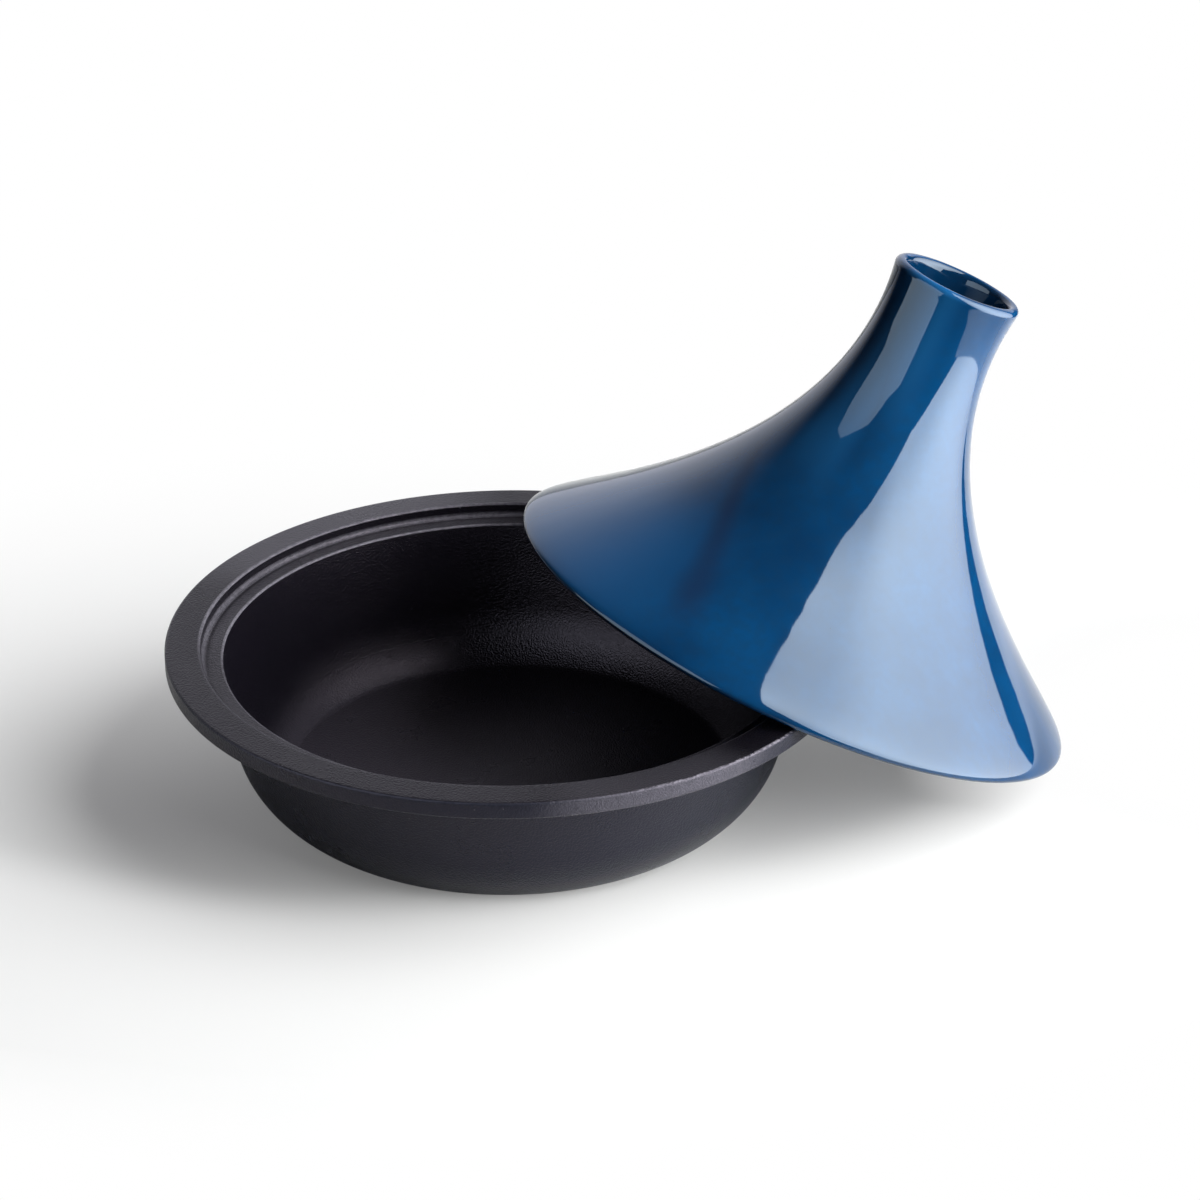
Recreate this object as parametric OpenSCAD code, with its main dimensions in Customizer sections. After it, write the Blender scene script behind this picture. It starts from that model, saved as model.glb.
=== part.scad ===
// Tagine: a cast-iron dish with a wide flange, and its ceramic cone lid, which leans on the dish.
// Millimetres. +Z is up, the origin is the middle of the dish's foot, and the lid leans towards +X.

/* [Dish] */
// Width across the flange
dish_d = 290; // [280:1:330]
// Height of the flange's top above the table
dish_h = 71; // [64:0.1:80]
// Thickness of the flange at its outer edge
flange_t = 7.3; // [5:0.1:10]
// Width across the recess that the lid sits in
recess_d = 259.8; // [256:0.1:266]
// Depth of that recess below the flange's top
recess_depth = 6; // [3:0.1:7]
// Width across the bowl's mouth, inside the recess
mouth_d = 241.2; // [236:0.1:246]
// Thickness of the bowl's wall
wall_t = 5; // [4:0.1:6]
// Thickness of iron under the bowl's flat floor, foot included
floor_t = 5.5; // [4.5:0.1:8]
// Angle by which the bowl's wall leans outwards
wall_lean = 12.8; // [5:0.1:18]
// Outer radius of the bend between the wall and the bottom
bend_r = 40.5; // [38:0.5:44]
// Height of that bend's centre above the table
bend_z = 36.4; // [34:0.1:38]
// Width across the machined foot
foot_d = 191.4; // [150:0.1:196]
// Height of the foot
foot_h = 2; // [1:0.1:3]

/* [Lid] */
// Width across the lid's rim
rim_d = 255.4; // [250:0.1:258]
// Height of the lid from its rim to its lip
lid_h = 170.2; // [150:0.1:200]
// Width across the lip of the neck
lip_d = 56.9; // [50:0.1:66]
// Angle by which the neck flares at the lip
lip_flare = 9; // [0:0.5:14]
// Length over which the neck's line pulls on the side's curve
neck_pull = 98.5; // [80:0.5:120]
// Angle by which the rim's edge leans inwards
rim_lean = 0; // [0:0.5:20]
// Length over which the rim's line pulls on the side's curve
rim_pull = 9; // [6:0.5:40]
// Thickness of the lid's wall, and width of the rim it stands on
shell_t = 6.5; // [5:0.1:8]
// Thickness of the wall round the cup in the neck
neck_t = 5.4; // [4:0.1:7]
// Depth of the cup in the neck, which stays cool enough to hold
cup_depth = 52; // [30:1:60]
// Thickness of the web between that cup and the dome's hollow
web_t = 7; // [5:0.5:12]

/* [Lean] */
// Angle by which the lid's axis leans from upright
tilt = 24.71; // [20:0.01:28]
// Clearance where the lid's rim rests on the dish and on the table
rest_gap = 0.3; // [0.1:0.1:0.5]

/* [Hidden] */
$fn = 180;

iron = [0.13, 0.13, 0.14];
glaze = [0.10, 0.30, 0.50];

dish_r = dish_d / 2;
recess_r = recess_d / 2;
mouth_r = mouth_d / 2;
foot_r = foot_d / 2;
rim_r = rim_d / 2;
lip_r = lip_d / 2;
recess_z = dish_h - recess_depth;                // floor of the recess
flange_z = dish_h - flange_t;                    // underside of the flange
collar_z = min(recess_z - wall_t, flange_z - 1);  // underside of the collar that carries the recess

edge_r = 1.2;        // rounding of the flange's upper edges
under_r = 1;         // rounding of the flange's lower edge
root_r = 3;          // fillet between the bowl's wall and the collar
collar_wide = 3.5;   // iron outside the recess, in the collar
sweep_r = 15;        // fillet round the bowl's flat floor
rim_out_r = 2;       // rounding of the lid's rim, outside
rim_in_r = 1;        // rounding of the lid's rim, inside
crown_r = 12;        // rounding at the top of the hollow under the lid
cup_r = 9;           // rounding at the bottom of the cup in the neck
curve_steps = 36;    // points along the lid's side

// Points on an arc about centre c, from angle a0 to angle a1
function arc(c, r, a0, a1, steps = 6) =
    [for (i = [0 : steps]) let (a = a0 + (a1 - a0) * i / steps) c + r * [cos(a), sin(a)]];

// ---- Dish: one profile, turned round the upright axis ----

// Centre of the bend, set so that the inner wall runs up to the mouth at the wall's lean
bend_x = mouth_r - (bend_r - wall_t + (recess_z - bend_z) * sin(wall_lean)) / cos(wall_lean);
// Where the outer wall would meet the collar's underside, and the fillet's centre there
wall_top_x = bend_x + (bend_r + (collar_z - bend_z) * sin(wall_lean)) / cos(wall_lean);
root_x = wall_top_x + root_r * (1 - sin(wall_lean)) / cos(wall_lean);
// The collar steps up to the flange's underside in an S of two equal arcs
step_r = (flange_z - collar_z) / 2;
collar_r = recess_r + collar_wide;
// Centre of the fillet between the flat floor and the bend, and the angle where they join
sweep_z = floor_t + sweep_r;
sweep_x = bend_x + sqrt(pow(bend_r - wall_t - sweep_r, 2) - pow(bend_z - sweep_z, 2));
sweep_a = atan2(sweep_z - bend_z, sweep_x - bend_x);
bend_a = -asin((bend_z - foot_h) / bend_r);

dish_outside = concat(
    [[0, 0], [foot_r - foot_h / 4, 0], [foot_r, foot_h / 4], [foot_r, foot_h]],
    arc([bend_x, bend_z], bend_r, bend_a, -wall_lean, 14),
    arc([root_x, collar_z - root_r], root_r, 180 - wall_lean, 90),
    arc([collar_r - step_r, collar_z + step_r], step_r, -90, 0, 4),
    arc([collar_r + step_r, flange_z - step_r], step_r, 180, 90, 4),
    arc([dish_r - under_r, flange_z + under_r], under_r, -90, 0, 4),
    arc([dish_r - edge_r, dish_h - edge_r], edge_r, 0, 90)
);

dish_inside = concat(
    arc([recess_r + edge_r, dish_h - edge_r], edge_r, 90, 180),
    arc([recess_r - edge_r, recess_z + edge_r], edge_r, 0, -90),
    arc([mouth_r + under_r, recess_z - under_r], under_r, 90, 180 - wall_lean, 4),
    arc([bend_x, bend_z], bend_r - wall_t, -wall_lean, sweep_a, 12),
    arc([sweep_x, sweep_z], sweep_r, sweep_a, -90, 8),
    [[0, floor_t]]
);

module dish() {
    color(iron)
        rotate_extrude()
            polygon(concat(dish_outside, dish_inside));
}

// ---- Lid: a trumpet curve from the rim to the lip ----

lip_t = neck_t / 2;
lip_c = [lip_r - lip_t, lid_h - lip_t];

// Control points of the outer curve, as [radius, height above the rim]
side_start = [rim_r, rim_out_r];
side_end = lip_c + lip_t * [cos(lip_flare), -sin(lip_flare)];
side = [
    side_start,
    side_start + rim_pull * [-sin(rim_lean), cos(rim_lean)],
    side_end - neck_pull * [sin(lip_flare), cos(lip_flare)],
    side_end
];

function bezier(p, t) =
    pow(1 - t, 3) * p[0] + 3 * pow(1 - t, 2) * t * p[1] + 3 * (1 - t) * pow(t, 2) * p[2] + pow(t, 3) * p[3];

function bezier_way(p, t) =
    pow(1 - t, 2) * (p[1] - p[0]) + 2 * (1 - t) * t * (p[2] - p[1]) + pow(t, 2) * (p[3] - p[2]);

// Direction out of the lid's side at t, and its angle above level
function out_way(t) = let (w = bezier_way(side, t)) [w[1], -w[0]] / norm(w);
function out_angle(t) = atan2(out_way(t)[1], out_way(t)[0]);

// Point at a depth under the lid's side
function under_side(t, depth) = bezier(side, t) - depth * out_way(t);

// Value of t where that point reaches height z
function side_t(z, depth, lo = 0.3, hi = 1, n = 24) =
    let (mid = (lo + hi) / 2)
    n == 0 ? mid
        : under_side(mid, depth)[1] < z ? side_t(z, depth, mid, hi, n - 1)
        : side_t(z, depth, lo, mid, n - 1);

lid_outside = concat(
    [[0, 0]],
    arc([rim_r - rim_out_r, rim_out_r], rim_out_r, -90, 0),
    [for (i = [1 : curve_steps]) bezier(side, i / curve_steps)],
    arc(lip_c, lip_t, -lip_flare, 90),
    [[0, lid_h]]
);

// The hollow under the lid, from below the rim to its rounded crown
crown_z = lid_h - cup_depth - web_t;
crown_t = side_t(crown_z - crown_r, shell_t + crown_r);
dome_hollow = concat(
    [[0, -1], [rim_r - shell_t + rim_in_r, -1]],
    arc([rim_r - shell_t + rim_in_r, rim_in_r], rim_in_r, 270, 180),
    [for (i = [1 : curve_steps]) let (p = under_side(crown_t * i / curve_steps, shell_t))
        if (p[1] > rim_in_r + 0.5) p],
    arc(under_side(crown_t, shell_t + crown_r), crown_r, out_angle(crown_t), 90, 8),
    [[0, crown_z]]
);

// The cup in the neck, from its rounded floor to the lip
cup_z = lid_h - cup_depth;
cup_t = side_t(cup_z + cup_r, neck_t + cup_r);
cup_hollow = concat(
    [[0, cup_z]],
    arc(under_side(cup_t, neck_t + cup_r), cup_r, -90, out_angle(cup_t), 8),
    [for (i = [1 : 10]) under_side(cup_t + (1 - cup_t) * i / 10, neck_t)],
    arc(lip_c, lip_t, 180 - lip_flare, 90),
    [[lip_c[0], lid_h + 1], [0, lid_h + 1]]
);

module lid_upright() {
    rotate_extrude()
        difference() {
            polygon(lid_outside);
            polygon(dome_hollow);
            polygon(cup_hollow);
        }
}

// ---- How the lid leans: its rim is on the table in front, and on the flange's edge at two sides ----

// Height of the rim plane's centre when the rim's rounded edge just clears the table
lean_z = (rim_r - rim_out_r) * sin(tilt) + rim_out_r * (1 - cos(tilt)) + rest_gap;
// Ring at the middle of the rim's inner rounding, and ring at the middle of the flange's edge rounding
nose_r = rim_r - shell_t + rim_in_r;
ledge_r = dish_r - edge_r;
ledge_z = dish_h - edge_r;

// Point on the rim's ring at angle a, with the rim plane's centre at x = shift
function nose(shift, a) =
    [shift + nose_r * cos(a) * cos(tilt) + rim_in_r * sin(tilt),
     nose_r * sin(a),
     lean_z - nose_r * cos(a) * sin(tilt) + rim_in_r * cos(tilt)];

// Shortest way between the two rings
function ring_gap(shift) =
    min([for (a = [60 : 0.5 : 175]) let (p = nose(shift, a)) norm([norm([p[0], p[1]]) - ledge_r, p[2] - ledge_z])]);

// Shift at which the two rings cross
cross_reach = (ledge_z - lean_z - rim_in_r * cos(tilt)) / sin(tilt);
cross_x = sqrt(pow(ledge_r, 2) - pow(nose_r, 2) + pow(cross_reach, 2))
    + cross_reach * cos(tilt) - rim_in_r * sin(tilt);

// Shift at which the rounded edges stand rest_gap apart
function rest_shift(lo, hi, n = 16) =
    let (mid = (lo + hi) / 2)
    n == 0 ? mid
        : ring_gap(mid) < rim_in_r + edge_r + rest_gap ? rest_shift(mid, hi, n - 1)
        : rest_shift(lo, mid, n - 1);
lean_x = rest_shift(cross_x, cross_x + 30);

module lid() {
    color(glaze)
        translate([lean_x, 0, lean_z])
            rotate([0, tilt, 0])
                lid_upright();
}

dish();
lid();
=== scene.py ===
# %% [markdown]
# # A tagine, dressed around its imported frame
#
# The real object is two loose pieces: a heavy cast-iron dish, and a tall glazed ceramic lid that has been
# lifted off and leans on the dish. Both are turned shapes, so each one is a drawn outline that is swept
# once round an axis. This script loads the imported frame, turns both outlines into fine meshes that sit
# where the frame's plain solids are, and gives them their finishes, a table and studio light.

# %% Load the frame and note its box
import math

import bmesh
import bpy
import numpy as np
from mathutils import Matrix, Vector, noise


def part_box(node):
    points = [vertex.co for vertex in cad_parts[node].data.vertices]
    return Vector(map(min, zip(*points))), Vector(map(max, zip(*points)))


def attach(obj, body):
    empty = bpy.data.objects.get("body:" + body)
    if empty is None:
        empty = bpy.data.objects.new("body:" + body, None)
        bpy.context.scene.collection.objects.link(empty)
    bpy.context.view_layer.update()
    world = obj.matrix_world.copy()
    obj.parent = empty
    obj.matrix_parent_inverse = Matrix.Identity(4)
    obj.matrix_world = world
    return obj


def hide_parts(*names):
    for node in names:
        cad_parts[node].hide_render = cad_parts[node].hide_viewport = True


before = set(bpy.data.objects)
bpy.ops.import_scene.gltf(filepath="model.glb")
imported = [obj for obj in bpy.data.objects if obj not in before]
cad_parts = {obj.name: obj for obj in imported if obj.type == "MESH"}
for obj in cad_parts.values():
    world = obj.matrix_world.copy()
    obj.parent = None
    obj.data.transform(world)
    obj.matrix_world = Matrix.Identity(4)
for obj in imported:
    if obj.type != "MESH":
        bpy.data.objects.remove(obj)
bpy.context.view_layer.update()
_, dish_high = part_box("dish")
lid_low, lid_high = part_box("lid")
print(f"dish {dish_high.x * 2000:.1f} mm across and {dish_high.z * 1000:.1f} mm high")

# %% [markdown]
# ## The camera
#
# A product picture is taken from well back with a long lens, because a short lens close by would swell
# the near rim. The camera could be placed by hand, but here it is placed in the words of a studio: a point
# to aim at, how far round, how far up, and how far back. No shift or depth of field is used.

# %% Camera
AIM = Vector((0.03897, -0.00514, 0.08372))
AZIMUTH = math.radians(-17.18)
ELEVATION = math.radians(26.62)
DISTANCE = 1.6092
LENS_MM = 114.0
SENSOR_MM = 36.0
FARTHEST = 20.0

scene = bpy.context.scene
back = Vector((
    math.sin(AZIMUTH) * math.cos(ELEVATION),
    -math.cos(AZIMUTH) * math.cos(ELEVATION),
    math.sin(ELEVATION),
))
camera_data = bpy.data.cameras.new("camera")
camera_data.lens = LENS_MM
camera_data.sensor_width = SENSOR_MM
camera_data.clip_end = FARTHEST
camera = bpy.data.objects.new("camera", camera_data)
camera.location = AIM + back * DISTANCE
camera.rotation_euler = (-back).to_track_quat("-Z", "Y").to_euler()
scene.collection.objects.link(camera)
scene.camera = camera
scene.view_settings.view_transform = "Standard"
print("camera at", [round(v, 3) for v in camera.location])

# %% [markdown]
# ## Drawing an outline
#
# A potter's rib and a foundry's pattern both follow a drawn section. Such a section is straight stretches
# joined by arcs, so the first tool draws an arc. It uses a point about every seven degrees, which is
# enough for an edge a millimetre round. The large bends ask for a finer step of their own.

# %% Outline: arcs
MM = 0.001
ARC_STEP = math.radians(7)
FEWEST_STEPS = 4


def arc(centre, radius, start, end, step=ARC_STEP):
    """Points on an arc, from angle start to angle end in degrees."""
    start, end = math.radians(start), math.radians(end)
    count = max(FEWEST_STEPS, math.ceil(abs(end - start) / step))
    angles = [start + (end - start) * i / count for i in range(count + 1)]
    return [(centre[0] + radius * math.cos(a), centre[1] + radius * math.sin(a)) for a in angles]


print("a quarter arc has", len(arc((0, 0), MM, 0, 90)), "points")

# %% [markdown]
# Long stretches need points too. Smooth shading blends the normals of neighbouring points, and a long flat
# stretch next to a tight rounding would look swollen. A subdivision modifier would add points as well, but
# it would also soften the drawn arcs, so the points are simply spread along each stretch.

# %% Outline: points along long stretches
SAME_POINT = 1e-7


def spread(outline, longest):
    """The outline with points added so that no stretch is longer than the value given."""
    result = [outline[0]]
    for here, there in zip(outline, outline[1:]):
        length = math.dist(here, there)
        if length < SAME_POINT:
            continue
        count = max(1, math.ceil(length / longest))
        for i in range(1, count + 1):
            t = i / count
            result.append((here[0] + (there[0] - here[0]) * t, here[1] + (there[1] - here[1]) * t))
    return result


print("10 mm in steps of 2.5 mm:", len(spread([(0, 0), (10 * MM, 0)], 2.5 * MM)), "points")

# %% [markdown]
# ## Turning an outline into a mesh
#
# A potter's wheel and a lathe both sweep one outline round an axis. Blender has a Screw modifier for
# this, but building the rings directly lets each point be nudged on the way, which the lid needs for the
# slight unevenness of a real glaze. The outline starts and ends on the axis, so the skin is closed: four
# corners to a face between rings, and a fan of triangles at either end.

# %% Lathe: points and faces
def turned_skin(outline, turns):
    """Points and faces of an outline of (radius, height) points that is turned round Z."""
    rings = np.array(outline[1:-1])
    angles = np.linspace(0.0, 2 * math.pi, turns, endpoint=False)
    verts = np.empty((len(rings), turns, 3))
    verts[:, :, 0] = rings[:, :1] * np.cos(angles)
    verts[:, :, 1] = rings[:, :1] * np.sin(angles)
    verts[:, :, 2] = rings[:, 1:]
    points = [tuple(v) for v in verts.reshape(-1, 3)]
    faces = []
    for i in range(len(rings) - 1):
        for j in range(turns):
            k = (j + 1) % turns
            faces.append((i * turns + j, i * turns + k, (i + 1) * turns + k, (i + 1) * turns + j))
    first, last = len(points), len(points) + 1
    points += [(0, 0, outline[0][1]), (0, 0, outline[-1][1])]
    top = (len(rings) - 1) * turns
    for j in range(turns):
        k = (j + 1) % turns
        faces.append((first, k, j))
        faces.append((last, top + j, top + k))
    return points, faces


print("a square turned in 4 has", len(turned_skin([(0, 0), (1, 0), (1, 1), (0, 1)], 4)[1]), "faces")

# %% [markdown]
# The skin then becomes a piece of the scene. The bmesh step turns every face outwards and gives each point
# its normal, so that a nudge can press the point in along it. Smooth shading comes last.

# %% Lathe: the finished piece
def lathe(name, outline, turns, nudge=None):
    """A closed piece turned round Z. Nudge, where given, says how far each point moves outwards."""
    points, faces = turned_skin(outline, turns)
    mesh = bpy.data.meshes.new(name)
    mesh.from_pydata(points, [], faces)
    shaped = bmesh.new()
    shaped.from_mesh(mesh)
    bmesh.ops.recalc_face_normals(shaped, faces=shaped.faces)
    shaped.normal_update()
    if nudge:
        moves = [vert.normal * nudge(vert.co) for vert in shaped.verts]
        for vert, move in zip(shaped.verts, moves):
            vert.co += move
    shaped.to_mesh(mesh)
    shaped.free()
    mesh.shade_smooth()
    piece = bpy.data.objects.new(name, mesh)
    scene.collection.objects.link(piece)
    print(f"{name}: {len(outline)} outline points, {len(mesh.polygons)} faces")
    return piece


print("the lathe is ready")

# %% [markdown]
# ## The dish
#
# The dish is one iron casting: a flat machined foot, a bend up to a wall that leans out, a collar with a
# stepped recess for the lid's rim, and a wide flange to carry it by. Every edge of a casting is a little
# round, and those roundings catch the light as thin bright rings, so they are drawn as real arcs. The
# width and height come from the frame. The other sizes are the frame's own, but for two inner fillets,
# in the recess's corner and round the bowl's floor, which are set by how they catch the light.

# %% Dish sizes
flange_r = dish_high.x
dish_h = dish_high.z
flange_t = 7.3 * MM
recess_r = 129.9 * MM
recess_depth = 6 * MM
mouth_r = 120.6 * MM
wall_t = 5 * MM
floor_t = 5.5 * MM
wall_lean = 12.8
bend_r = 40.5 * MM
bend_z = 36.4 * MM
foot_r = 95.7 * MM
foot_h = 2 * MM
edge_r = 1.2 * MM
corner_r = 1.8 * MM
under_r = 1 * MM
root_r = 3 * MM
collar_wide = 3.5 * MM
sweep_r = 6 * MM
print(f"bowl {mouth_r * 2000:.1f} mm across inside, recess {recess_r * 2000:.1f} mm across")

# %% [markdown]
# The rest follows from those sizes. The bend's centre is set so that the inner wall runs up to the mouth
# at its lean. The collar steps up to the flange's underside in an S of two equal arcs, and a small sweep
# joins the flat floor to the bend. Working these out keeps every joint between arcs smooth.

# %% Dish: centres of its arcs
lean_sin, lean_cos = math.sin(math.radians(wall_lean)), math.cos(math.radians(wall_lean))
recess_z = dish_h - recess_depth
flange_z = dish_h - flange_t
collar_z = recess_z - wall_t
bend_x = mouth_r - (bend_r - wall_t + (recess_z - bend_z) * lean_sin) / lean_cos
wall_top_x = bend_x + (bend_r + (collar_z - bend_z) * lean_sin) / lean_cos
root_x = wall_top_x + root_r * (1 - lean_sin) / lean_cos
step_r = (flange_z - collar_z) / 2
collar_r = recess_r + collar_wide
sweep_z = floor_t + sweep_r
sweep_x = bend_x + math.sqrt((bend_r - wall_t - sweep_r) ** 2 - (bend_z - sweep_z) ** 2)
sweep_angle = math.degrees(math.atan2(sweep_z - bend_z, sweep_x - bend_x))
bend_angle = -math.degrees(math.asin((bend_z - foot_h) / bend_r))
print(f"the wall bends round a point {bend_x * 1000:.1f} mm from the axis")

# %% [markdown]
# The outline goes once round the section: out along the foot, up the outside, over the flange, down
# through the recess and along the bowl's floor back to the axis. It has only the points that its shape
# needs, and the lathe's helpers add the rest.

# %% Dish: its outline
BEND_STEP = math.radians(2)
SWEEP_STEP = math.radians(3)
dish_outline = [(0, 0), (foot_r - foot_h / 4, 0), (foot_r, foot_h / 4), (foot_r, foot_h)]
dish_outline += arc((bend_x, bend_z), bend_r, bend_angle, -wall_lean, BEND_STEP)
dish_outline += arc((root_x, collar_z - root_r), root_r, 180 - wall_lean, 90)
dish_outline += arc((collar_r - step_r, collar_z + step_r), step_r, -90, 0)
dish_outline += arc((collar_r + step_r, flange_z - step_r), step_r, 180, 90)
dish_outline += arc((flange_r - under_r, flange_z + under_r), under_r, -90, 0)
dish_outline += arc((flange_r - edge_r, dish_h - edge_r), edge_r, 0, 90)
dish_outline += arc((recess_r + edge_r, dish_h - edge_r), edge_r, 90, 180)
dish_outline += arc((recess_r - corner_r, recess_z + corner_r), corner_r, 0, -90)
dish_outline += arc((mouth_r + under_r, recess_z - under_r), under_r, 90, 180 - wall_lean)
dish_outline += arc((bend_x, bend_z), bend_r - wall_t, -wall_lean, sweep_angle, BEND_STEP)
dish_outline += arc((sweep_x, sweep_z), sweep_r, sweep_angle, -90, SWEEP_STEP)
dish_outline += [(0, floor_t)]
print("the dish's outline has", len(dish_outline), "points")

# %% [markdown]
# Four hundred turns give the flange's edge steps of about 2 mm, too small to see as corners. The piece
# takes the place of the frame's plain dish, and stays with the body that carries it.

# %% Dish: its mesh
DISH_TURNS = 400
DISH_SPACING = 2.5 * MM
dish_piece = lathe("dish_casting", spread(dish_outline, DISH_SPACING), DISH_TURNS)
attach(dish_piece, "dish")
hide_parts("dish")

# %% [markdown]
# ## The lid
#
# The lid is a trumpet of stoneware: a wide rim, one long hollow curve up to a slim neck, and a blind cup
# in the neck that stays cool enough to hold. A potter would throw it upside down in one piece, or cast it
# in a mould. The sizes are the frame's own again, and the rim's width comes from the frame itself.

# %% Lid sizes
rim_r = lid_high.y
lid_h = 170.2 * MM
lip_r = 28.45 * MM
lip_flare = 9
neck_pull = 98.5 * MM
rim_pull = 9 * MM
shell_t = 6.5 * MM
neck_t = 5.4 * MM
cup_depth = 52 * MM
web_t = 7 * MM
rim_out_r = 2 * MM
rim_in_r = 1 * MM
crown_r = 12 * MM
cup_r = 9 * MM
TILT = math.radians(24.71)
print(f"lid {rim_r * 2000:.1f} mm across its rim, leaning {math.degrees(TILT):.1f} degrees")

# %% [markdown]
# The side is a single Bezier curve, which is how a designer would draw it: it leaves the rim upright,
# and it reaches the lip at the flare's angle. How far its two handles pull gives the trumpet its hollow.

# %% Lid: the side's curve
flare_sin, flare_cos = math.sin(math.radians(lip_flare)), math.cos(math.radians(lip_flare))
lip_t = neck_t / 2
lip_c = np.array((lip_r - lip_t, lid_h - lip_t))
side_start = np.array((rim_r, rim_out_r))
side_end = lip_c + lip_t * np.array((flare_cos, -flare_sin))
rim_handle = side_start + rim_pull * np.array((0, 1))
neck_handle = side_end - neck_pull * np.array((flare_sin, flare_cos))


def side_point(t):
    """Point on the side, from the rim at 0 to the lip at 1."""
    near_rim = (1 - t) ** 3 * side_start + 3 * (1 - t) ** 2 * t * rim_handle
    return near_rim + 3 * (1 - t) * t ** 2 * neck_handle + t ** 3 * side_end


def side_out(t):
    """Direction out of the side at t."""
    way = (1 - t) ** 2 * (rim_handle - side_start) + 2 * (1 - t) * t * (neck_handle - rim_handle)
    way = way + t ** 2 * (side_end - neck_handle)
    return np.array((way[1], -way[0])) / np.linalg.norm(way)


print("the side is", round(side_point(0.5)[0] * 2000, 1), "mm across half way along")

# %% [markdown]
# The wall's inside runs a fixed depth under that curve, which a Solidify modifier could also do. Here the
# depth changes between shell and neck, and the crown of the dome and the floor of the cup are arcs that
# touch the inside, so the point where each arc begins is searched for along the curve.

# %% Lid: under the side
SEARCH_FROM = 0.3
HALVINGS = 40


def under_side(t, depth):
    """Point at a depth under the side."""
    return side_point(t) - depth * side_out(t)


def side_t(height, depth):
    """Value of t where the point at that depth under the side reaches the height given."""
    low, high = SEARCH_FROM, 1.0
    for _ in range(HALVINGS):
        middle = (low + high) / 2
        if under_side(middle, depth)[1] < height:
            low = middle
        else:
            high = middle
    return low


def side_angle(t):
    """Angle above level of the direction out of the side, in degrees."""
    out = side_out(t)
    return math.degrees(math.atan2(out[1], out[0]))


crown_z = lid_h - cup_depth - web_t
crown_t = side_t(crown_z - crown_r, shell_t + crown_r)
cup_z = lid_h - cup_depth
cup_t = side_t(cup_z + cup_r, neck_t + cup_r)
print(f"the dome ends at {crown_t:.3f} of the side, and the cup at {cup_t:.3f}")

# %% [markdown]
# This outline goes from the dome's crown down the inside, round the rim, up the outside, over the lip and
# down into the cup. The whole wall is there, so the lid is right from below as well.

# %% Lid: its outline
SIDE_STEPS = 130
CUP_STEPS = 30
RIM_CLEARANCE = 0.5 * MM
dome = [under_side(crown_t * i / SIDE_STEPS, shell_t) for i in range(1, SIDE_STEPS + 1)]
dome = [tuple(point) for point in dome if point[1] > rim_in_r + RIM_CLEARANCE]
lid_outline = [(0, crown_z)]
lid_outline += arc(under_side(crown_t, shell_t + crown_r), crown_r, 90, side_angle(crown_t))
lid_outline += dome[::-1][1:]
lid_outline += arc((rim_r - shell_t + rim_in_r, rim_in_r), rim_in_r, 180, 270)
lid_outline += arc((rim_r - rim_out_r, rim_out_r), rim_out_r, -90, 0)
lid_outline += [tuple(side_point(i / SIDE_STEPS)) for i in range(1, SIDE_STEPS)]
lid_outline += arc(lip_c, lip_t, -lip_flare, 180 - lip_flare)
lid_outline += [tuple(under_side(1 - (1 - cup_t) * i / CUP_STEPS, neck_t)) for i in range(1, CUP_STEPS)]
lid_outline += arc(under_side(cup_t, neck_t + cup_r), cup_r, side_angle(cup_t), -90)
lid_outline += [(0, cup_z)]
print("the lid's outline has", len(lid_outline), "points")

# %% [markdown]
# The lid leans, so its outline is drawn upright and the finished mesh is tilted. Where it stands is read
# off the frame: the tilted outline has to end where the frame's lid ends, at the right and at the bottom.

# %% Lid: where it stands
lean_x = lid_high.x - max(r * math.cos(TILT) + z * math.sin(TILT) for r, z in lid_outline)
lean_z = lid_low.z - min(z * math.cos(TILT) - r * math.sin(TILT) for r, z in lid_outline)
print(f"the rim's middle is at x {lean_x * 1000:.2f} mm and z {lean_z * 1000:.2f} mm")

# %% [markdown]
# A glaze runs and pools in the kiln, and a ceramic wall is never dead true. Both move the edges of
# reflections by a few millimetres. A bump map could fake this, but it is a real shape about a tenth of
# a millimetre deep, so the points themselves are pressed in a little by a slow noise.

# %% Lid: its mesh
LID_TURNS = 420
LID_SPACING = 2.2 * MM
SWELL_DEPTH = 0.1 * MM
SWELL_SIZE = 26 * MM
FINE_SWELL_SIZE = 0.32 * SWELL_SIZE
FINE_SWELL_SHIFT = Vector((7, 3, 1))
SWELL_MIDDLE, SWELL_SLOW, SWELL_FINE = 0.7, 0.4, 0.22


def glaze_swell(point):
    """How far the surface stands off its true outline, never outwards."""
    slow = noise.noise(point / SWELL_SIZE)
    fine = noise.noise(point / FINE_SWELL_SIZE + FINE_SWELL_SHIFT)
    return -SWELL_DEPTH * (SWELL_MIDDLE + SWELL_SLOW * slow + SWELL_FINE * fine)


lid_piece = lathe("lid_glazed", spread(lid_outline, LID_SPACING), LID_TURNS, glaze_swell)
lid_piece.data.transform(Matrix.Translation((lean_x, 0, lean_z)) @ Matrix.Rotation(TILT, 4, "Y"))
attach(lid_piece, "lid")
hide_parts("lid")

# %% [markdown]
# ## Building shaders
#
# Shader trees can be wired in the node editor. In a script the same wiring is easier to follow when one
# short helper adds a node, sets its values and links its inputs, so that each line reads like one node.

# %% Shader helpers: nodes
def feed(tree, socket, value):
    """Link a socket to another socket, or set its value."""
    if isinstance(value, bpy.types.NodeSocket):
        tree.links.new(value, socket)
    else:
        socket.default_value = value


def add(tree, kind, settings=None, **inputs):
    """Add a shader node. Inputs go by name, with _ for a space, or as i and their number."""
    made = tree.nodes.new("ShaderNode" + kind)
    for name, value in (settings or {}).items():
        setattr(made, name, value)
    for name, value in inputs.items():
        numbered = name[1:].isdigit()
        feed(tree, made.inputs[int(name[1:])] if numbered else made.inputs[name.replace("_", " ")], value)
    return made


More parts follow.
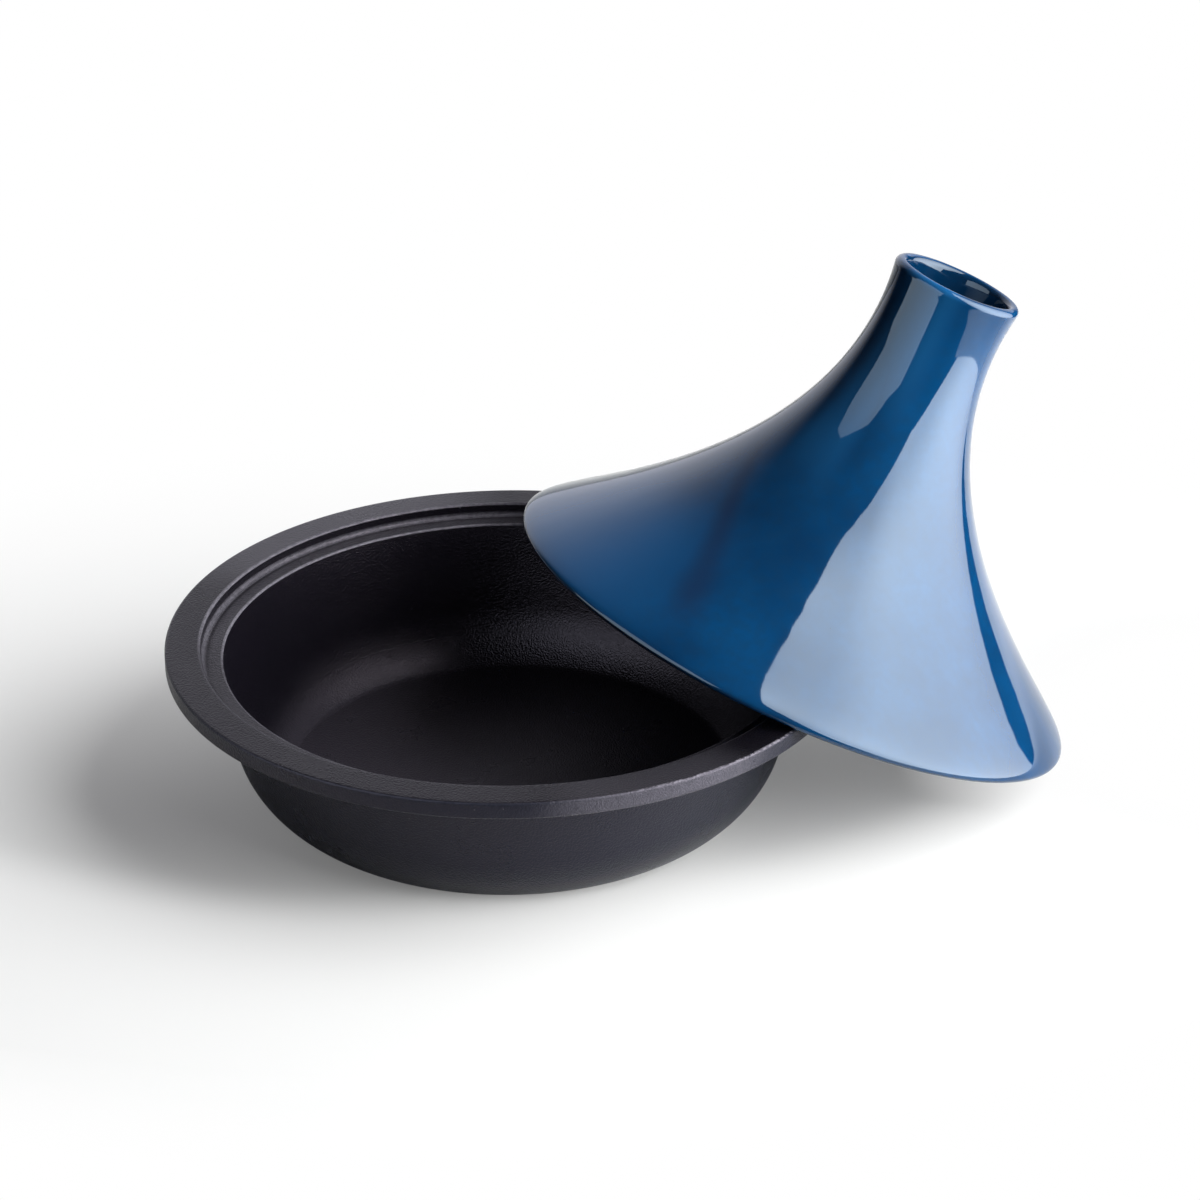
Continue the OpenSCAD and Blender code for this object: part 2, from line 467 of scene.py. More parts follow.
def set_shader(tree, shader, **inputs):
    """Set or link the sockets of a node that is already in the tree."""
    for name, value in inputs.items():
        feed(tree, shader.inputs[name.replace("_", " ")], value)


def material(name):
    """A new material, its tree and its main shader."""
    made = bpy.data.materials.new(name)
    made.use_nodes = True
    return made, made.node_tree, made.node_tree.nodes["Principled BSDF"]


print("node helpers are ready")

# %% [markdown]
# Most of a procedural finish is small sums on masks, values between 0 and 1 that say where an effect is.
# Each helper here is one such sum. The ramp does most of the work: it turns a stretch of any value, such
# as a height, into a soft step.

# %% Shader helpers: sums on masks
def maths(tree, operation, first, second=0.0):
    """One sum with one or two values."""
    return add(tree, "Math", {"operation": operation}, i0=first, i1=second).outputs[0]


def product(tree, first, *others):
    """Several masks multiplied together."""
    for other in others:
        first = maths(tree, "MULTIPLY", first, other)
    return first


def strongest(tree, first, *others):
    """The largest of several masks."""
    for other in others:
        first = maths(tree, "MAXIMUM", first, other)
    return first


def apart(tree, first, second):
    """How far two values are from each other."""
    return maths(tree, "ABSOLUTE", maths(tree, "SUBTRACT", first, second))


def across_from(tree, first, second):
    """Distance from an axis, from the two coordinates square to it."""
    squares = maths(tree, "ADD", product(tree, first, first), product(tree, second, second))
    return maths(tree, "SQRT", squares)


def ramp(tree, value, low, high, to_low=0.0, to_high=1.0):
    """Turn the stretch from low to high into the stretch from to_low to to_high, with soft ends."""
    return add(
        tree, "MapRange", {"interpolation_type": "SMOOTHSTEP"},
        Value=value, From_Min=low, From_Max=high, To_Min=to_low, To_Max=to_high,
    ).outputs[0]


print("mask helpers are ready")

# %% [markdown]
# Directions and spots come up on the dish, the table and in the room. A bearing is counted as on a
# compass that lies on the table, in degrees from +Y towards +X.

# %% Shader helpers: bearings and spots
def along(tree, x, y, bearing):
    """How far a place, or a direction, goes towards a bearing."""
    angle = math.radians(bearing)
    return maths(tree, "ADD", product(tree, x, math.sin(angle)), product(tree, y, math.cos(angle)))


def facing(tree, x, y, level, bearing):
    """The same as a share of the level length: 1 straight towards the bearing, -1 straight away."""
    return maths(tree, "DIVIDE", along(tree, x, y, bearing), level)


def reach_from(tree, place, spot):
    """Distance of a place from a spot."""
    return add(tree, "VectorMath", {"operation": "DISTANCE"}, i0=place, i1=spot).outputs["Value"]


print("bearing helpers are ready")

# %% [markdown]
# A finish is built up as a painter would: a ground colour, then one thin coat after another, each laid
# only where its mask says. A Mix node does that for one coat, and a short loop lays them all.

# %% Shader helpers: coats of colour
def blend(tree, share, first, second):
    """A colour between two colours."""
    made = add(tree, "Mix", {"data_type": "RGBA"}, i0=share)
    for socket, colour in ((made.inputs[6], first), (made.inputs[7], second)):
        feed(tree, socket, colour if isinstance(colour, bpy.types.NodeSocket) else (*colour, 1))
    return made.outputs[2]


def coats(tree, ground, *layers):
    """Lay (mask, colour) coats over a ground colour, in their order."""
    for share, colour in layers:
        ground = blend(tree, share, ground, colour)
    return ground


print("colour helpers are ready")

# %% [markdown]
# ## Shared effects
#
# Four small effects are built once as node groups, and each finish gives them its own values: cloud,
# grain and specks serve both the iron and the glaze, and ring marks every edge of the casting that is rubbed
# or painted with a highlight.
# The first helper makes an empty group, and the second one places a group in a tree.

# %% Group helpers
def new_group(name, inputs, outputs):
    """An empty node group. Inputs are name: (kind, default value), and outputs are name: kind."""
    tree = bpy.data.node_groups.new(name, "ShaderNodeTree")
    for label, (kind, value) in inputs.items():
        socket = tree.interface.new_socket(label, in_out="INPUT", socket_type="NodeSocket" + kind)
        if value is not None:
            socket.default_value = value
    for label, kind in outputs.items():
        tree.interface.new_socket(label, in_out="OUTPUT", socket_type="NodeSocket" + kind)
    return tree, tree.nodes.new("NodeGroupInput").outputs, tree.nodes.new("NodeGroupOutput").inputs


def use_group(tree, group, **inputs):
    """Place a group in a tree and return its outputs."""
    made = tree.nodes.new("ShaderNodeGroup")
    made.node_tree = group
    set_shader(tree, made, **inputs)
    return made.outputs


PLACE = ("Vector", None)
print("group helpers are ready")

# %% [markdown]
# Cloud is a slow patchiness from 0 to 1. No real surface is the same all over: oil dries in patches on
# iron, and a glaze lies thicker here and thinner there. A noise texture with its middle stretched out
# gives that. Its size is in metres, so the same group suits a patch of 30 mm and a scuff of 2 mm.

# %% Group: cloud
def cloud_group():
    tree, given, result = new_group(
        "cloud", {"Vector": PLACE, "Size": ("Float", 0.02), "Detail": ("Float", 3.0)}, {"Value": "Float"},
    )
    scale = maths(tree, "DIVIDE", 1.0, given["Size"])
    made = add(tree, "TexNoise", Vector=given["Vector"], Scale=scale, Detail=given["Detail"], Roughness=0.55)
    feed(tree, result["Value"], ramp(tree, made.outputs[0], 0.28, 0.72))
    return tree


cloud = cloud_group()
print(cloud.name, "has", len(cloud.nodes), "nodes")

# %% [markdown]
# Grain is the fine pebbled skin left by moulding sand or by the kiln. It is far too fine to model, so it
# is a bump: the group puts out the height it used and the bumped normal that a shader can take.

# %% Group: grain
def grain_group():
    tree, given, result = new_group(
        "grain", {"Vector": PLACE, "Size": ("Float", 0.001), "Depth": ("Float", 0.00005)},
        {"Height": "Float", "Normal": "Vector"},
    )
    scale = maths(tree, "DIVIDE", 1.0, given["Size"])
    made = add(tree, "TexNoise", Vector=given["Vector"], Scale=scale, Detail=2.0, Roughness=0.5)
    height = ramp(tree, made.outputs[0], 0.3, 0.7)
    bump = add(tree, "Bump", Strength=1.0, Distance=given["Depth"], Height=height)
    feed(tree, result["Height"], height)
    feed(tree, result["Normal"], bump.outputs[0])
    return tree


grain = grain_group()
print(grain.name, "has", len(grain.nodes), "nodes")

# %% [markdown]
# Specks are sparse dots: pinholes in the glaze, and glints on the iron. A Voronoi texture scatters one
# point to a cell and gives each cell a random colour. The distance to the point makes the dot, and the
# colour picks the few cells that keep theirs. Width is a part of the spacing, and share a part of the cells.

# %% Group: specks
def specks_group():
    tree, given, result = new_group(
        "specks",
        {"Vector": PLACE, "Spacing": ("Float", 0.004), "Width": ("Float", 0.1), "Share": ("Float", 0.1)},
        {"Mask": "Float"},
    )
    scale = maths(tree, "DIVIDE", 1.0, given["Spacing"])
    cells = add(tree, "TexVoronoi", Vector=given["Vector"], Scale=scale, Randomness=1.0)
    dot = ramp(tree, maths(tree, "DIVIDE", cells.outputs["Distance"], given["Width"]), 0.6, 1.0, 1.0, 0.0)
    chance = add(tree, "SeparateColor", Color=cells.outputs["Color"]).outputs[0]
    feed(tree, result["Mask"], product(tree, dot, maths(tree, "LESS_THAN", chance, given["Share"])))
    return tree


specks = specks_group()
print(specks.name, "has", len(specks.nodes), "nodes")

# %% [markdown]
# Ring is a soft band round the dish's axis, at a radius and a height. It places edge wear and painted edge
# highlights. Edges could be found with a Pointiness or a Bevel node, but on a turned piece every edge is
# such a ring, so its place is known.

# %% Group: ring
def ring_group():
    tree, given, result = new_group(
        "ring",
        {"Around": ("Float", 0.0), "Up": ("Float", 0.0), "Radius": ("Float", 0.1), "Height": ("Float", 0.0),
         "Width": ("Float", 0.001)},
        {"Mask": "Float"},
    )
    sideways = maths(tree, "SUBTRACT", given["Around"], given["Radius"])
    upwards = maths(tree, "SUBTRACT", given["Up"], given["Height"])
    distance = maths(tree, "DIVIDE", across_from(tree, sideways, upwards), given["Width"])
    feed(tree, result["Mask"], ramp(tree, distance, 0.5, 1.0, 1.0, 0.0))
    return tree


ring = ring_group()
print(ring.name, "has", len(ring.nodes), "nodes")

# %% [markdown]
# ## Cast iron
#
# Oiled cast iron is nearly black, and what the eye sees is almost all sheen. Its marks follow the shape of
# the casting, so the material first works out where each point lies: how far from the axis, how high, and
# towards which side. Those come from object coordinates, which stay with the dish when it moves.

# %% Iron: where a point lies
iron, iron_tree, iron_shader = material("cast_iron")
iron_place = add(iron_tree, "TexCoord").outputs["Object"]
iron_x, iron_y, iron_up = add(iron_tree, "SeparateXYZ", Vector=iron_place).outputs
iron_around = across_from(iron_tree, iron_x, iron_y)


def towards(bearing, low, high):
    """Mask for the side of the dish that faces a bearing, from low to high, where 1 is straight on."""
    return ramp(iron_tree, facing(iron_tree, iron_x, iron_y, iron_around, bearing), low, high)


def ring_mask(radius, up, width):
    """Mask for a ring of the dish."""
    placed = {"Around": iron_around, "Up": iron_up, "Radius": radius, "Height": up, "Width": width}
    return use_group(iron_tree, ring, **placed)["Mask"]


print("cast iron has", len(iron_tree.nodes), "nodes so far")

# %% [markdown]
# The skin of a sand casting is pebbled, with bumps a little under a millimetre across and a tenth of a
# millimetre high. They break the sheen up. Slow clouds stop the large surfaces from looking sprayed, a finer
# one breaks up the wear and the painted highlights, and rare glints are painted on as grey dots.

# %% Iron: skin, breakup and painted glints
skin = use_group(iron_tree, grain, Vector=iron_place, Size=0.8 * MM, Depth=0.11 * MM)
patches = use_group(iron_tree, cloud, Vector=iron_place, Size=30 * MM)["Value"]
fine_breakup_cloud = use_group(iron_tree, cloud, Vector=iron_place, Size=2.2 * MM, Detail=4.0)["Value"]
glints = use_group(iron_tree, specks, Vector=iron_place, Spacing=3.5 * MM, Width=0.09, Share=0.06)["Mask"]
wear_and_sheen_breakup = ramp(iron_tree, fine_breakup_cloud, 0.1, 0.8)
print("cast iron has", len(iron_tree.nodes), "nodes so far")

# %% [markdown]
# The lid's rim and hands rub the black off the edges of the recess. The grey on these rings is partly that
# wear and partly painted highlight, where the roundings catch the light as thin bright lines, most of all at
# the back left. Each edge is a ring with its own width, and with one share of grey at the front and another
# at the back. A fine cloud breaks every ring up, so that none runs on like a drawn line.

# %% Iron: rubbed edges and painted edge highlights
BACK_LEFT = (-30, 0.5, 0.93)
WORN_AND_HIGHLIT_RINGS = (
    # name, radius, height, width, share at the front, share at the back left
    ("recess's corner", recess_r - 0.9 * MM, recess_z + 0.9 * MM, 1.9 * MM, 0.12, 0.5),
    ("seat of the lid", 124.3 * MM, recess_z, 3.4 * MM, 0.08, 0.27),
    ("bowl's mouth", mouth_r + 0.4 * MM, recess_z, 1.0 * MM, 0.25, 1.0),
    ("recess's edge", recess_r + 0.5 * MM, dish_h, 1.1 * MM, 0.08, 0.85),
    ("flange's edge", flange_r - 0.2 * MM, dish_h, 1.3 * MM, 0.03, 0.1),
)
back_left = towards(*BACK_LEFT)
broken = ramp(iron_tree, wear_and_sheen_breakup, 0, 1, 0.7, 1.0)
# This mask is partly wear and partly painted highlight on the edges.
rubbed_and_highlit = 0.0
for name, radius, up, width, front_share, back_share in WORN_AND_HIGHLIT_RINGS:
    share = ramp(iron_tree, back_left, 0, 1, front_share, back_share)
    rubbed_and_highlit = strongest(iron_tree, rubbed_and_highlit, product(iron_tree, ring_mask(radius, up, width), share, broken))
    print(f"rubbed: {name}, {radius * 1000:.1f} mm from the axis")

# %% [markdown]
# The flange is grey in wider patches as well, partly worn and partly painted light. Its top is grey at the
# back, with wear and painted sheen, and a little at the front, as painted sheen. At the front its side and
# the edge above carry a painted highlight, broken up by the fine cloud. Each patch has a bearing, and two
# limits between which its mask fades in towards that bearing.

# %% Iron: worn flange and painted sheen
TOP_BACK_WEAR_AND_SHEEN, TOP_FRONT_PAINTED_SHEEN = (-20, 0.8, 0.96), (172, 0.94, 0.99)
SIDE_FRONT_PAINTED_SHEEN, EDGE_FRONT_PAINTED_HIGHLIGHT = (171, 0.92, 0.99), (157, 0.91, 0.97)
flange_top = ramp(iron_tree, iron_around, recess_r, recess_r + 1 * MM)
flange_side = ramp(iron_tree, iron_around, flange_r - 1.2 * MM, flange_r - 0.4 * MM)
flange_edge = ring_mask(flange_r - 0.4 * MM, dish_h, 0.8 * MM)
side_sheen_share = ramp(iron_tree, wear_and_sheen_breakup, 0, 1, 0.26, 0.32)
# Painted sheen and highlight on the flange, with some wear at the back.
rubbed_and_highlit = strongest(
    iron_tree, rubbed_and_highlit,
    product(iron_tree, flange_top, towards(*TOP_BACK_WEAR_AND_SHEEN), 0.3),
    product(iron_tree, flange_top, towards(*TOP_FRONT_PAINTED_SHEEN), 0.11),
    product(iron_tree, flange_side, towards(*SIDE_FRONT_PAINTED_SHEEN), side_sheen_share),
    product(iron_tree, flange_edge, towards(*EDGE_FRONT_PAINTED_HIGHLIGHT), wear_and_sheen_breakup, 0.7),
)
print("cast iron has", len(iron_tree.nodes), "nodes so far")

# %% [markdown]
# Cooking seasons the inside of a dish, so its black is browner than the bluer black outside. Its flat
# floor is coloured lighter, as painted light on a floor that little light reaches. Which side a surface is
# on shows in its normal: inside the bowl it points back towards the axis, outside it points away, and on
# the floor it points up.

# %% Iron: inside, outside and the floor's painted light
FLOOR_ABOVE = 4 * MM
out_way = add(iron_tree, "TexCoord").outputs["Normal"]
out_x, out_y, out_z = add(iron_tree, "SeparateXYZ", Vector=out_way).outputs
outwards = maths(iron_tree, "ADD", product(iron_tree, iron_x, out_x), product(iron_tree, iron_y, out_y))
outwards = maths(iron_tree, "DIVIDE", outwards, iron_around)
inside = ramp(iron_tree, outwards, -0.3, 0.0, 1.0, 0.0)
outside = ramp(iron_tree, outwards, 0.3, 0.7)
# Painted light: the bowl's floor gets a lighter colour.
bowl_floor = product(
    iron_tree,
    maths(iron_tree, "GREATER_THAN", iron_up, FLOOR_ABOVE),
    ramp(iron_tree, out_z, 0.5, 0.95),
    ramp(iron_tree, iron_around, mouth_r - 2 * MM, mouth_r, 1.0, 0.0),
)
print("the bowl's floor counts up to", round((mouth_r - 2 * MM) * 1000, 1), "mm from the axis")

# %% [markdown]
# Now the coats go on. All the blacks are very dark, the floor a little less for its painted light, and only
# the edges with wear and painted highlight and the painted glints are grey. The mirror is set to about half
# of what glass has, with a touch less green in it, and the roughness is middling: a seasoned pan is satin,
# and its inside is the smoother side.

# %% Iron: colour and sheen
DEEP_BLACK, SOFT_BLACK = (0.0022, 0.0018, 0.003), (0.0042, 0.0036, 0.0056)
OUTSIDE_BLACK = (0.0065, 0.0085, 0.0155)
INSIDE_BLACK = (0.006, 0.0052, 0.008)
FLOOR_PAINTED_LIGHT = (0.032, 0.028, 0.037)
# Grey for worn edges and for painted highlights.
WEAR_AND_HIGHLIGHT_GREY = (0.17, 0.16, 0.185)
# Painted glints: grey dots in the base colour.
GLINT_GREY = (0.08, 0.08, 0.09)
SATIN = (0.27, 0.33)
INSIDE_SMOOTHER = 0.07
smoother = product(iron_tree, inside, INSIDE_SMOOTHER)
set_shader(
    iron_tree, iron_shader,
    Base_Color=coats(
        iron_tree, blend(iron_tree, patches, DEEP_BLACK, SOFT_BLACK),
        (outside, OUTSIDE_BLACK), (inside, INSIDE_BLACK), (bowl_floor, FLOOR_PAINTED_LIGHT),
        (rubbed_and_highlit, WEAR_AND_HIGHLIGHT_GREY), (glints, GLINT_GREY),
    ),
    Roughness=maths(iron_tree, "SUBTRACT", ramp(iron_tree, patches, 0, 1, *SATIN), smoother),
    IOR=1.5, Specular_IOR_Level=0.28, Specular_Tint=(1.0, 0.86, 1.0, 1), Normal=skin["Normal"],
)
dish_piece.data.materials.append(iron)
print(f"cast iron roughness {SATIN[0] - INSIDE_SMOOTHER:.2f} to {SATIN[1]:.2f}, {len(iron_tree.nodes)} nodes")

# %% [markdown]
# ## Blue glaze
#
# A glaze is a sheet of coloured glass over clay, so its mirror is sharp and its colour is deep. It is
# poured or sprayed on, and its changes of colour, painted light and shade among them, follow the lid's own
# height and side. A Mapping node stands the leaning lid upright again, to give coordinates that go with its
# shape.

# %% Glaze: where a point lies
glaze, glaze_tree, glaze_shader = material("blue_glaze")
glaze_place = add(glaze_tree, "TexCoord").outputs["Object"]
upright = add(
    glaze_tree, "Mapping", {"vector_type": "TEXTURE"},
    Vector=glaze_place, Location=(lean_x, 0, lean_z), Rotation=(0, TILT, 0),
).outputs[0]
glaze_x, glaze_y, glaze_up = add(glaze_tree, "SeparateXYZ", Vector=upright).outputs
glaze_across = across_from(glaze_tree, glaze_x, glaze_y)
frontwards = product(glaze_tree, glaze_y, -1.0)
dishwards = product(glaze_tree, glaze_x, -1.0)
glaze_angle = maths(glaze_tree, "ARCTAN2", frontwards, dishwards)


def near_angle(middle, low, high):
    """Mask for a strip down the side, at an angle counted from over the dish towards the front."""
    return ramp(glaze_tree, apart(glaze_tree, glaze_angle, middle), low, high, 1.0, 0.0)


print("blue glaze has", len(glaze_tree.nodes), "nodes so far")

# %% [markdown]
# The ground colour drifts between two blues, under a faint fine mottle. Light is painted in as lighter
# blue low on the side over the dish and in a strip down the front of that side, and the neck is a lighter
# blue too. Inside the cup painted shade keeps it darker. Each of those places is a mask from the height and
# the angle.

# %% Glaze: painted light and shade
CUP_R = 24.3 * MM
drift = use_group(glaze_tree, cloud, Vector=glaze_place, Size=45 * MM)["Value"]
mottle = use_group(glaze_tree, cloud, Vector=glaze_place, Size=4 * MM, Detail=4.0)["Value"]
faint_mottle = product(glaze_tree, mottle, 0.35)
# Painted light: the side over the dish is a lighter blue low down.
over_dish = product(
    glaze_tree, near_angle(0.0, 0.14, 0.8), ramp(glaze_tree, glaze_up, 30 * MM, 60 * MM, 1.0, 0.0),
)
neck = ramp(glaze_tree, glaze_up, 95 * MM, 150 * MM)
# Painted light: a lighter strip down the front of the side over the dish.
high_left = product(glaze_tree, neck, near_angle(0.75, 0.2, 0.6))
low_left = product(glaze_tree, near_angle(0.5, 0.15, 0.4), ramp(glaze_tree, glaze_up, 65 * MM, 100 * MM), 0.7)
# Painted shade: the inside of the cup is a darker blue.
in_cup = product(
    glaze_tree, maths(glaze_tree, "LESS_THAN", glaze_across, CUP_R),
    ramp(glaze_tree, glaze_up, 100 * MM, 110 * MM),
)
print("blue glaze has", len(glaze_tree.nodes), "nodes so far")

# %% [markdown]
# One dark streak shows on the side. It bends round the side as it goes down, so its angle is a curve of
# the height: a start, a slope and a bend. Its ends fade out.

# %% Glaze: the dark streak
STREAK_FOOT = 18.9 * MM
STREAK_ANGLE, STREAK_SLOPE, STREAK_BEND = 0.634, 3.3, 148.0
STREAK_HALF_WIDTH = 0.13
STREAK_SHARE = 0.55
climb = maths(glaze_tree, "SUBTRACT", glaze_up, STREAK_FOOT)
streak_angle = maths(glaze_tree, "SUBTRACT", STREAK_ANGLE, product(glaze_tree, climb, STREAK_SLOPE))
streak_angle = maths(glaze_tree, "SUBTRACT", streak_angle, product(glaze_tree, climb, climb, STREAK_BEND))
dark_streak = product(
    glaze_tree, near_angle(streak_angle, 0.0, STREAK_HALF_WIDTH),
    ramp(glaze_tree, glaze_up, 8 * MM, 26 * MM),
    ramp(glaze_tree, glaze_up, 50 * MM, 110 * MM, 1.0, 0.0),
    STREAK_SHARE,
)
print(f"the dark run starts {STREAK_FOOT * 1000:.1f} mm above the rim")

# %% [markdown]
# Pinholes are left where bubbles burst in the kiln, and a very slight orange peel keeps the mirror from
# looking like plastic. The glaze is almost smooth. Its mirror is a little stronger than plain glass, and
# bluish, because some of the light has gone through the glaze and back.

# %% Glaze: colour and mirror
DEEP_BLUE, CLEAR_BLUE = (0.0005, 0.022, 0.07), (0.001, 0.038, 0.112)
MOTTLE_BLUE, CUP_PAINTED_SHADE = (0.005, 0.024, 0.06), (0.001, 0.017, 0.05)
OVER_DISH_PAINTED_LIGHT, NECK_LIGHTER_BLUE, STRIP_PAINTED_LIGHT = (0.004, 0.058, 0.165), (0.003, 0.045, 0.13), (0.007, 0.075, 0.2)
STREAK_BLUE, HOLE_BLUE = (0.007, 0.014, 0.04), (0.004, 0.012, 0.035)
holes = use_group(glaze_tree, specks, Vector=glaze_place, Spacing=11 * MM, Width=0.035, Share=0.35)["Mask"]
peel = use_group(glaze_tree, grain, Vector=glaze_place, Size=3.5 * MM, Depth=0.0015 * MM)
set_shader(
    glaze_tree, glaze_shader,
    Base_Color=coats(
        glaze_tree, blend(glaze_tree, drift, DEEP_BLUE, CLEAR_BLUE),
        (faint_mottle, MOTTLE_BLUE), (over_dish, OVER_DISH_PAINTED_LIGHT), (product(glaze_tree, neck, 0.3), NECK_LIGHTER_BLUE),
        (strongest(glaze_tree, high_left, low_left), STRIP_PAINTED_LIGHT), (in_cup, CUP_PAINTED_SHADE),
        (dark_streak, STREAK_BLUE), (product(glaze_tree, holes, 0.7), HOLE_BLUE),
    ),
    Roughness=0.04, IOR=1.5, Specular_IOR_Level=0.62,
    Specular_Tint=(0.8, 0.91, 1.0, 1), Normal=peel["Normal"],
)
lid_piece.data.materials.append(glaze)
print("blue glaze:", len(glaze_tree.nodes), "nodes")

# %% [markdown]
# ## The table
#
# The pieces stand on a white board that is turned a little to the side. Its outline matters, because the
# glaze mirrors it: where the board ends, the dark of the room begins. It lies a tenth of a millimetre
# below the dish's foot, so that the two never share a plane, which would make them flicker.

# %% Table: the board
BOARD_TURN = -20
BOARD_DROP = 0.1 * MM
BOARD = [(-0.9, -0.33), (0.36, -0.33), (0.57, -0.46), (0.46, 0.12), (0.43, 1.3), (-0.9, 1.3)]
board_mesh = bpy.data.meshes.new("table")
board_mesh.from_pydata([(x, y, 0) for x, y in BOARD], [], [tuple(range(len(BOARD)))])
board_mesh.transform(Matrix.Rotation(math.radians(BOARD_TURN), 4, "Z"))
board = bpy.data.objects.new("table", board_mesh)
board.location.z = -BOARD_DROP
scene.collection.objects.link(board)
print("table corners:", BOARD)

# %% [markdown]
# The board is lit brightly enough to turn white by itself near the object wherever nothing shades it.
# Further off it would slowly fall to grey, so there the camera is shown plain white instead, and no extra
# light reaches the object. The lift is a mask made of distances from three spots: it is full close beside
# the lid, and it grows with the way from the shade in front of the dish and from a spot behind it. Near the
# object it is partial, which paints some light into the shadows for the camera.

# %% Table: where the camera sees plain white
SHADE = (-0.09, -0.4, 0.0)
LID_SIDE = (0.33, -0.05, 0.0)
BEHIND = (0.03, 0.25, 0.0)
white, white_tree, white_shader = material("table_white")
board_place = add(white_tree, "NewGeometry").outputs["Position"]
beside_lid = reach_from(white_tree, board_place, LID_SIDE)
from_behind = reach_from(white_tree, board_place, BEHIND)
from_shade = reach_from(white_tree, board_place, SHADE)
# Partial lift near the dish and the lid is painted light in their shadows.
lift = strongest(
    white_tree,
    ramp(white_tree, from_shade, 0.4, 0.78, 0.15, 1.0),
    ramp(white_tree, beside_lid, 0.08, 0.2, 1.0, 0.0),
    ramp(white_tree, from_behind, 0.335, 0.375, 0.15, 0.45),
    ramp(white_tree, from_behind, 0.42, 0.54),
)
print("the camera's white is measured from", SHADE, LID_SIDE, "and", BEHIND)

# %% [markdown]
# What the glaze mirrors is the board's paper with painted shade: greyer right beside the lid, and dark far
# to the left, so that the lid's lower sides keep their deep blue. A trace of yellow in it offsets the blue
# lamps.

# %% Table: its paper with painted shade
board_x, board_y, _ = add(white_tree, "SeparateXYZ", Vector=board_place).outputs
leftwards = along(white_tree, board_x, board_y, -90 - BOARD_TURN)
painted_paper_shade = product(
    white_tree, ramp(white_tree, beside_lid, 0.04, 0.2, 0.45, 0.82),
    ramp(white_tree, leftwards, 0.5, 0.88, 1.0, 0.12),
)
paper = add(
    white_tree, "CombineColor",
    Red=painted_paper_shade, Green=product(white_tree, painted_paper_shade, 0.985), Blue=product(white_tree, painted_paper_shade, 0.96),
).outputs[0]
set_shader(white_tree, white_shader, Base_Color=paper, Roughness=0.8, Specular_IOR_Level=0.0)
print("table paper is ready")

# %% [markdown]
# A Light Path node tells a camera ray from all others, so plain white replaces the paper for the camera
# alone. From below the camera looks through the board, which shows the underside of a lifted lid.

# %% Table: its shader
seen = add(white_tree, "LightPath").outputs["Is Camera Ray"]
plain = add(white_tree, "Emission", Color=(1, 1, 1, 1), Strength=1.0)
lifted = add(
    white_tree, "MixShader",
    i0=product(white_tree, lift, seen), i1=white_shader.outputs[0], i2=plain.outputs[0],
)
from_below = product(white_tree, add(white_tree, "NewGeometry").outputs["Backfacing"], seen)
clear = add(white_tree, "BsdfTransparent")
finished = add(white_tree, "MixShader", i0=from_below, i1=lifted.outputs[0], i2=clear.outputs[0])
feed(white_tree, white_tree.nodes["Material Output"].inputs["Surface"], finished.outputs[0])
board.data.materials.append(white)
print("table:", len(white_tree.nodes), "nodes")

# %% [markdown]
# ## The room
#
# A glossy object shows its surroundings, so the room matters as much as the lamps. Behind the object stands
# a white sheet that fades upwards, and a narrower, lower one stands beside it to the right. The world's
# shader draws both, from the bearing and the height of the way that a ray takes.

# %% Room: its sheets
BACK_SHEET, SIDE_SHEET = 5, 45
world = bpy.data.worlds.new("studio")
scene.world = world
world.use_nodes = True
room_tree = world.node_tree
room_tree.nodes.clear()
way = add(room_tree, "TexCoord").outputs["Generated"]
way_x, way_y, way_z = add(room_tree, "SeparateXYZ", Vector=way).outputs
way_level = across_from(room_tree, way_x, way_y)
back_sheet = ramp(room_tree, facing(room_tree, way_x, way_y, way_level, BACK_SHEET), 0.74, 0.99)
side_sheet = product(
    room_tree, ramp(room_tree, facing(room_tree, way_x, way_y, way_level, SIDE_SHEET), 0.93, 0.985),
    ramp(room_tree, way_z, -0.02, 0.02), ramp(room_tree, way_z, 0.25, 0.5, 1.0, 0.0),
)
upwards_fade = ramp(room_tree, way_z, 0.2, 1.02, 1.0, 0.0)
sheets = product(room_tree, strongest(room_tree, back_sheet, side_sheet), upwards_fade)
print("room sheets at", BACK_SHEET, "and", SIDE_SHEET, "degrees")

# %% [markdown]
# Everything else is a dark studio, faint at the horizon and a little lighter above it, which gives the
# glaze its deep blue. The camera itself sees a plain white room, and as with the table, that adds no light.

# %% Room: its light
studio = ramp(room_tree, way_z, 0.0, 0.5, 0.01, 0.055)
room_light = maths(room_tree, "ADD", sheets, studio)
room = add(room_tree, "Background", Color=(0.9, 0.91, 1.0, 1), Strength=room_light)
plain = add(room_tree, "Background", Color=(1, 1, 1, 1), Strength=1.0)
seen = add(room_tree, "LightPath").outputs["Is Camera Ray"]
finished = add(room_tree, "MixShader", i0=seen, i1=room.outputs[0], i2=plain.outputs[0])
feed(room_tree, add(room_tree, "OutputWorld").inputs["Surface"], finished.outputs[0])
print("room:", len(room_tree.nodes), "nodes")

# %% [markdown]
# ## Softboxes
#
# The bright shapes in the glaze are pictures of the lamps. Area lamps are always plain rectangles, so each
# softbox here is a flat panel that glows, cut to the outline of a real one. Like a real one it isn't even:
# its strength changes along a sweep from side to side, droops at one edge, and fades low and high.

# %% Softbox: the panel
PANELS_ROUND = Vector((0.16, 0, 0))
DROOP = (0.15, 0.85)
LOW_FADE = (-0.5, 0.1, 0.72, 1.0)
HIGH_FADE = (0.7, 1.4, 1.0, 0.75)


